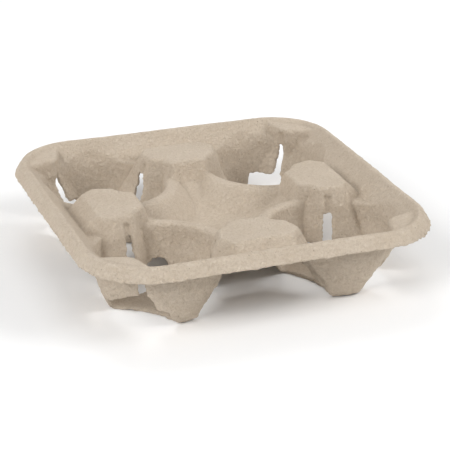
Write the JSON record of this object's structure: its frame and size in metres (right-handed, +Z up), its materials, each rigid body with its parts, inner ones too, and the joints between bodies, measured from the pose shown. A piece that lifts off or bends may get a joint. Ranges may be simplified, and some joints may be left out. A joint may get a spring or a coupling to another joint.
{
  "type": "moulded pulp cup carrier",
  "caption": "Square tray pressed from one sheet of grey-brown paper pulp, with slit cup wells at the corners, raised pads between them, a shallow dish in the middle and a turned-down rim",
  "frame": {"origin": "on the floor under the middle of the tray", "axes": "+Z up, +X to the right along the front edge, +Y to the back"},
  "size_m": [0.216, 0.216, 0.0465],
  "materials": {
    "moulded_pulp": "uncoated recycled paper pulp, matt, with loose surface fibres and torn slit edges"
  },
  "bodies": {
    "root": {"carrier_tray": "moulded_pulp"}
  },
  "joints": []
}
